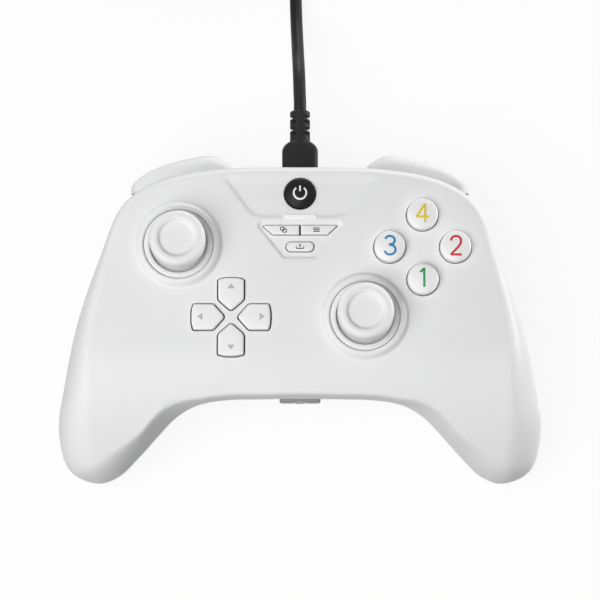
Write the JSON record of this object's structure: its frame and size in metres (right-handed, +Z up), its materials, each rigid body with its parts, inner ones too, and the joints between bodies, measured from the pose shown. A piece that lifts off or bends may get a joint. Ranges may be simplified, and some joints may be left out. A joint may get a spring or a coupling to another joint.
{
  "type": "wired gamepad controller",
  "caption": "Wired two-handed gamepad with tilting thumbsticks, direction keys, round action keys, bumpers, triggers, rumble motors and a coiled USB lead.",
  "frame": {"origin": "middle of the controller in plan, at the table", "axes": "+X to the player's right, +Y away from the player towards the lead, +Z up out of the face"},
  "size_m": [0.152, 0.2484, 0.0552],
  "materials": {
    "white_plastic": "fine satin",
    "black_gloss": "polished",
    "dark_plastic": "matte",
    "grey_plastic": "matte",
    "jack_plastic": "satin",
    "black_rubber": "soft matte",
    "plug_plastic": "matte with a bright metal tongue",
    "steel": "bright",
    "weight_metal": "turned",
    "board": "solder mask",
    "silicone": "soft"
  },
  "bodies": {
    "case": {"front_shell": "white_plastic", "rear_shell": "white_plastic", "left_stick_ring": "white_plastic", "right_stick_ring": "white_plastic", "left_trigger_frame": "dark_plastic", "right_trigger_frame": "dark_plastic", "left_trigger_pin": "steel", "right_trigger_pin": "steel", "left_trigger_spring": "steel", "right_trigger_spring": "steel", "bumper_pins": "steel", "bumper_switches": "dark_plastic", "left_stick_base": "steel", "right_stick_base": "steel", "left_stick_sensors": "dark_plastic", "right_stick_sensors": "dark_plastic", "main_board": "board", "face_button_pad": "silicone", "dpad_pad": "silicone", "centre_button_pad": "silicone", "left_motor": "steel", "right_motor": "steel", "headset_jack": "jack_plastic", "cable_boot": "black_rubber", "usb_cable": "black_rubber", "usb_cable_coil": "black_rubber", "usb_plug": "plug_plastic", "cable_tie": "black_rubber", "shell_screws": "steel"},
    "left_bumper": {"left_bumper": "white_plastic"},
    "left_trigger": {"left_trigger": "white_plastic"},
    "right_bumper": {"right_bumper": "white_plastic"},
    "right_trigger": {"right_trigger": "white_plastic"},
    "face_button_north": {"face_button_north": "white_plastic"},
    "face_button_south": {"face_button_south": "white_plastic"},
    "face_button_east": {"face_button_east": "white_plastic"},
    "face_button_west": {"face_button_west": "white_plastic"},
    "dpad_up": {"dpad_up": "white_plastic"},
    "dpad_down": {"dpad_down": "white_plastic"},
    "dpad_left": {"dpad_left": "white_plastic"},
    "dpad_right": {"dpad_right": "white_plastic"},
    "home_button": {"home_button": "black_gloss"},
    "view_button": {"view_button": "white_plastic"},
    "menu_button": {"menu_button": "white_plastic"},
    "share_button": {"share_button": "white_plastic"},
    "left_stick_yoke": {"left_stick_yoke": "dark_plastic"},
    "left_stick_pin": {"left_stick_pin": "steel"},
    "left_stick": {"left_stick_cap": "white_plastic", "left_stick_shaft": "grey_plastic"},
    "left_stick_arch": {"left_stick_arch": "grey_plastic"},
    "right_stick_yoke": {"right_stick_yoke": "dark_plastic"},
    "right_stick_pin": {"right_stick_pin": "steel"},
    "right_stick": {"right_stick_cap": "white_plastic", "right_stick_shaft": "grey_plastic"},
    "right_stick_arch": {"right_stick_arch": "grey_plastic"},
    "left_motor_weight": {"left_motor_weight": "weight_metal"},
    "right_motor_weight": {"right_motor_weight": "weight_metal"}
  },
  "joints": [
    {"name": "left_bumper_press", "type": "hinge", "parent": "case", "child": "left_bumper", "pos_m": [-0.02373, 0.04612, 0.03], "axis": [0, 0, 1], "range_deg": [0, 2.2], "stiffness_Nm_per_rad": 2, "springref_deg": -1.15},
    {"name": "left_trigger_pull", "type": "hinge", "parent": "case", "child": "left_trigger", "pos_m": [-0.0385, 0.0396, 0.0215], "axis": [-0.9613, -0.2756, 0], "range_deg": [0, 18], "stiffness_Nm_per_rad": 0.12, "springref_deg": -8.59},
    {"name": "right_bumper_press", "type": "hinge", "parent": "case", "child": "right_bumper", "pos_m": [0.02373, 0.04612, 0.03], "axis": [0, 0, -1], "range_deg": [0, 2.2], "stiffness_Nm_per_rad": 2, "springref_deg": -1.15},
    {"name": "right_trigger_pull", "type": "hinge", "parent": "case", "child": "right_trigger", "pos_m": [0.0385, 0.0396, 0.0215], "axis": [-0.9613, 0.2756, 0], "range_deg": [0, 18], "stiffness_Nm_per_rad": 0.12, "springref_deg": -8.59},
    {"name": "face_button_north_press", "type": "slide", "parent": "case", "child": "face_button_north", "axis": [0, 0, -1], "range_m": [0, 0.0012], "stiffness_N_per_m": 500, "springref_m": -0.0006},
    {"name": "face_button_south_press", "type": "slide", "parent": "case", "child": "face_button_south", "axis": [0, 0, -1], "range_m": [0, 0.0012], "stiffness_N_per_m": 500, "springref_m": -0.0006},
    {"name": "face_button_east_press", "type": "slide", "parent": "case", "child": "face_button_east", "axis": [0, 0, -1], "range_m": [0, 0.0012], "stiffness_N_per_m": 500, "springref_m": -0.0006},
    {"name": "face_button_west_press", "type": "slide", "parent": "case", "child": "face_button_west", "axis": [0, 0, -1], "range_m": [0, 0.0012], "stiffness_N_per_m": 500, "springref_m": -0.0006},
    {"name": "dpad_up_press", "type": "slide", "parent": "case", "child": "dpad_up", "axis": [0, 0, -1], "range_m": [0, 0.0012], "stiffness_N_per_m": 500, "springref_m": -0.0006},
    {"name": "dpad_down_press", "type": "slide", "parent": "case", "child": "dpad_down", "axis": [0, 0, -1], "range_m": [0, 0.0012], "stiffness_N_per_m": 500, "springref_m": -0.0006},
    {"name": "dpad_left_press", "type": "slide", "parent": "case", "child": "dpad_left", "axis": [0, 0, -1], "range_m": [0, 0.0012], "stiffness_N_per_m": 500, "springref_m": -0.0006},
    {"name": "dpad_right_press", "type": "slide", "parent": "case", "child": "dpad_right", "axis": [0, 0, -1], "range_m": [0, 0.0012], "stiffness_N_per_m": 500, "springref_m": -0.0006},
    {"name": "home_button_press", "type": "slide", "parent": "case", "child": "home_button", "axis": [0, 0, -1], "range_m": [0, 0.0008], "stiffness_N_per_m": 500, "springref_m": -0.0006},
    {"name": "view_button_press", "type": "slide", "parent": "case", "child": "view_button", "axis": [0, 0, -1], "range_m": [0, 0.0008], "stiffness_N_per_m": 500, "springref_m": -0.0006},
    {"name": "menu_button_press", "type": "slide", "parent": "case", "child": "menu_button", "axis": [0, 0, -1], "range_m": [0, 0.0008], "stiffness_N_per_m": 500, "springref_m": -0.0006},
    {"name": "share_button_press", "type": "slide", "parent": "case", "child": "share_button", "axis": [0, 0, -1], "range_m": [0, 0.0008], "stiffness_N_per_m": 500, "springref_m": -0.0006},
    {"name": "left_stick_tilt_fore_aft", "type": "hinge", "parent": "case", "child": "left_stick_yoke", "pos_m": [-0.0375, 0.0205, 0.031], "axis": [1, 0, 0], "range_deg": [-16, 16], "stiffness_Nm_per_rad": 0.04},
    {"name": "left_stick_tilt_sideways", "type": "hinge", "parent": "left_stick_yoke", "child": "left_stick_pin", "pos_m": [-0.0375, 0.0205, 0.031], "axis": [0, 1, 0], "range_deg": [-16, 16], "stiffness_Nm_per_rad": 0.04},
    {"name": "left_stick_click", "type": "slide", "parent": "left_stick_pin", "child": "left_stick", "axis": [0, 0, -1], "range_m": [0, 0.0006], "stiffness_N_per_m": 1500, "springref_m": -0.0004},
    {"name": "left_stick_arch_swing", "type": "hinge", "parent": "case", "child": "left_stick_arch", "pos_m": [-0.0375, 0.0205, 0.031], "axis": [0, 1, 0], "range_deg": [-17, 17]},
    {"name": "right_stick_tilt_fore_aft", "type": "hinge", "parent": "case", "child": "right_stick_yoke", "pos_m": [0.02, -0.002, 0.031], "axis": [1, 0, 0], "range_deg": [-16, 16], "stiffness_Nm_per_rad": 0.04},
    {"name": "right_stick_tilt_sideways", "type": "hinge", "parent": "right_stick_yoke", "child": "right_stick_pin", "pos_m": [0.02, -0.002, 0.031], "axis": [0, 1, 0], "range_deg": [-16, 16], "stiffness_Nm_per_rad": 0.04},
    {"name": "right_stick_click", "type": "slide", "parent": "right_stick_pin", "child": "right_stick", "axis": [0, 0, -1], "range_m": [0, 0.0006], "stiffness_N_per_m": 1500, "springref_m": -0.0004},
    {"name": "right_stick_arch_swing", "type": "hinge", "parent": "case", "child": "right_stick_arch", "pos_m": [0.02, -0.002, 0.031], "axis": [0, 1, 0], "range_deg": [-17, 17]},
    {"name": "left_motor_weight_spin", "type": "hinge", "parent": "case", "child": "left_motor_weight", "pos_m": [-0.0605, -0.034, 0.0185], "axis": [0, 1, 0], "continuous": true},
    {"name": "right_motor_weight_spin", "type": "hinge", "parent": "case", "child": "right_motor_weight", "pos_m": [0.0605, -0.034, 0.0185], "axis": [0, 1, 0], "continuous": true}
  ],
  "couplings": [
    {"joint": "left_stick_arch_swing", "follows": "left_stick_tilt_sideways", "ratio": 1},
    {"joint": "right_stick_arch_swing", "follows": "right_stick_tilt_sideways", "ratio": 1}
  ]
}
